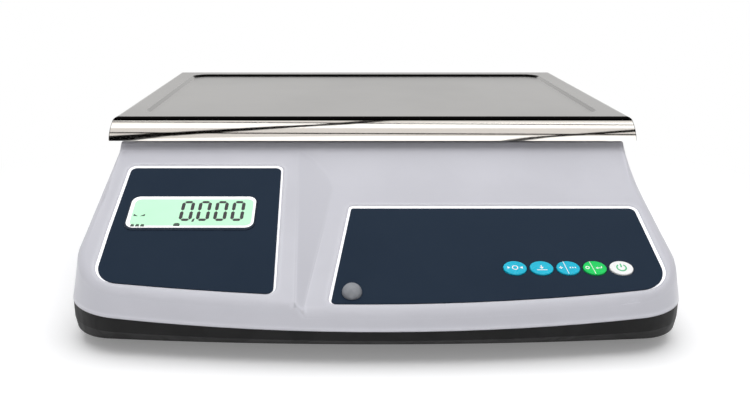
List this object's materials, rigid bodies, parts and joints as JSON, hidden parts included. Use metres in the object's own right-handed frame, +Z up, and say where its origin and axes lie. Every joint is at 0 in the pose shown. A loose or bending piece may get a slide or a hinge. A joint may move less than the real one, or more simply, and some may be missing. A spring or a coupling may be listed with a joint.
{
  "type": "retail counter scale",
  "caption": "Low counter scale with a removable steel platter on a load cell carrier, a sloping case with a backlit display and membrane keys, and levelling feet.",
  "frame": {"origin": "on the table, under the middle of the scale's outline", "axes": "+Z up, -Y towards the user and the sloping front, +X to the user's right"},
  "size_m": [0.3734, 0.3784, 0.12],
  "materials": {
    "case_plastic": "fine satin moulded ABS, light grey",
    "base_plastic": "fine textured ABS, near black",
    "overlay_film": "satin printed polyester film, dark navy",
    "window_clear": "clear acrylic window with a white printed border",
    "lcd_glass": "liquid crystal glass, mint green when lit",
    "white_plastic": "white moulded plastic",
    "black_plastic": "black moulded plastic",
    "circuit_board": "green solder mask on glass fibre board",
    "screw_steel": "zinc plated steel",
    "stainless": "stainless steel sheet, satin pan and bright flanges",
    "key_cyan": "moulded key cap, cyan",
    "key_green": "moulded key cap, green",
    "key_white": "moulded key cap, white",
    "level_lens": "satin grey moulded lens",
    "level_fluid": "level fluid with a bubble",
    "battery_case": "sealed lead-acid battery case",
    "foam": "closed-cell foam",
    "cast_aluminium": "die-cast aluminium, as cast",
    "aluminium": "machined aluminium",
    "cable_sheath": "grey PVC sheath",
    "rubber": "black rubber",
    "brass": "turned brass"
  },
  "bodies": {
    "case": {"upper_housing": "case_plastic", "base_tray": "base_plastic", "battery_door": "base_plastic", "display_overlay": "overlay_film", "keypad_overlay": "overlay_film", "display_window": "window_clear", "lcd_glass": "lcd_glass", "lcd_backlight": "white_plastic", "lcd_frame": "black_plastic", "display_board": "circuit_board", "keypad_board": "circuit_board", "main_board": "circuit_board", "main_board_parts": "black_plastic", "buzzer": "black_plastic", "display_board_screws": "screw_steel", "keypad_board_screws": "screw_steel", "main_board_screws": "screw_steel", "housing_screws": "screw_steel", "battery_door_screws": "screw_steel", "pedestal_screws": "screw_steel", "load_cell_screws": "screw_steel", "overload_stop": "screw_steel", "stop_nut": "screw_steel", "key_domes": "stainless", "level_lens": "level_lens", "level_cup": "white_plastic", "level_fluid": "level_fluid", "battery": "battery_case", "battery_pad": "foam", "dc_jack": "black_plastic", "dc_jack_nut": "screw_steel", "load_cell_pedestal": "cast_aluminium", "load_cell_spacer": "aluminium", "load_cell": "aluminium", "load_cell_cable": "cable_sheath", "dust_seal": "rubber", "foot_inserts": "brass"},
    "carrier": {"load_carrier": "cast_aluminium", "carrier_spacer": "aluminium", "carrier_screws": "screw_steel", "platter_bumpers": "rubber"},
    "platter": {"platter": "stainless", "platter_pins": "stainless"},
    "key_zero": {"key_zero": "key_cyan"},
    "key_tare": {"key_tare": "key_cyan"},
    "key_function": {"key_function": "key_cyan"},
    "key_enter": {"key_enter": "key_green"},
    "key_power": {"key_power": "key_white"},
    "foot_pad_front_left": {"foot_pad_front_left": "rubber"},
    "foot_stud_front_left": {"foot_stud_front_left": "screw_steel"},
    "foot_pad_front_right": {"foot_pad_front_right": "rubber"},
    "foot_stud_front_right": {"foot_stud_front_right": "screw_steel"},
    "foot_pad_rear_left": {"foot_pad_rear_left": "rubber"},
    "foot_stud_rear_left": {"foot_stud_rear_left": "screw_steel"},
    "foot_pad_rear_right": {"foot_pad_rear_right": "rubber"},
    "foot_stud_rear_right": {"foot_stud_rear_right": "screw_steel"}
  },
  "joints": [
    {"name": "weigh_deflection", "type": "slide", "parent": "case", "child": "carrier", "axis": [0, 0, -1], "range_m": [0, 0.0005], "stiffness_N_per_m": 400000, "deforming": ["load_cell"]},
    {"name": "platter_lift", "type": "slide", "parent": "carrier", "child": "platter", "axis": [0, 0, 1], "range_m": [0, 0.05]},
    {"name": "key_zero_press", "type": "slide", "parent": "case", "child": "key_zero", "axis": [0, 0.3872, -0.922], "range_m": [0, 0.0004], "stiffness_N_per_m": 2500, "springref_m": -0.0004},
    {"name": "key_tare_press", "type": "slide", "parent": "case", "child": "key_tare", "axis": [0, 0.3872, -0.922], "range_m": [0, 0.0004], "stiffness_N_per_m": 2500, "springref_m": -0.0004},
    {"name": "key_function_press", "type": "slide", "parent": "case", "child": "key_function", "axis": [0, 0.3872, -0.922], "range_m": [0, 0.0004], "stiffness_N_per_m": 2500, "springref_m": -0.0004},
    {"name": "key_enter_press", "type": "slide", "parent": "case", "child": "key_enter", "axis": [0, 0.3872, -0.922], "range_m": [0, 0.0004], "stiffness_N_per_m": 2500, "springref_m": -0.0004},
    {"name": "key_power_press", "type": "slide", "parent": "case", "child": "key_power", "axis": [0, 0.3872, -0.922], "range_m": [0, 0.0004], "stiffness_N_per_m": 2500, "springref_m": -0.0004},
    {"name": "foot_height_front_left", "type": "slide", "parent": "case", "child": "foot_pad_front_left", "axis": [0, 0, -1], "range_m": [0, 0.00605]},
    {"name": "foot_turn_front_left", "type": "hinge", "parent": "foot_pad_front_left", "child": "foot_stud_front_left", "pos_m": [-0.148, -0.122, 0.01], "axis": [0, 0, 1], "range_deg": [0, 1728]},
    {"name": "foot_height_front_right", "type": "slide", "parent": "case", "child": "foot_pad_front_right", "axis": [0, 0, -1], "range_m": [0, 0.00605]},
    {"name": "foot_turn_front_right", "type": "hinge", "parent": "foot_pad_front_right", "child": "foot_stud_front_right", "pos_m": [0.148, -0.122, 0.01], "axis": [0, 0, 1], "range_deg": [0, 1728]},
    {"name": "foot_height_rear_left", "type": "slide", "parent": "case", "child": "foot_pad_rear_left", "axis": [0, 0, -1], "range_m": [0, 0.00605]},
    {"name": "foot_turn_rear_left", "type": "hinge", "parent": "foot_pad_rear_left", "child": "foot_stud_rear_left", "pos_m": [-0.148, 0.15, 0.01], "axis": [0, 0, 1], "range_deg": [0, 1728]},
    {"name": "foot_height_rear_right", "type": "slide", "parent": "case", "child": "foot_pad_rear_right", "axis": [0, 0, -1], "range_m": [0, 0.00605]},
    {"name": "foot_turn_rear_right", "type": "hinge", "parent": "foot_pad_rear_right", "child": "foot_stud_rear_right", "pos_m": [0.148, 0.15, 0.01], "axis": [0, 0, 1], "range_deg": [0, 1728]}
  ],
  "couplings": [
    {"joint": "foot_height_front_left", "follows": "foot_turn_front_left", "m_per_rad": 0.00019894},
    {"joint": "foot_height_front_right", "follows": "foot_turn_front_right", "m_per_rad": 0.00019894},
    {"joint": "foot_height_rear_left", "follows": "foot_turn_rear_left", "m_per_rad": 0.00019894},
    {"joint": "foot_height_rear_right", "follows": "foot_turn_rear_right", "m_per_rad": 0.00019894}
  ]
}
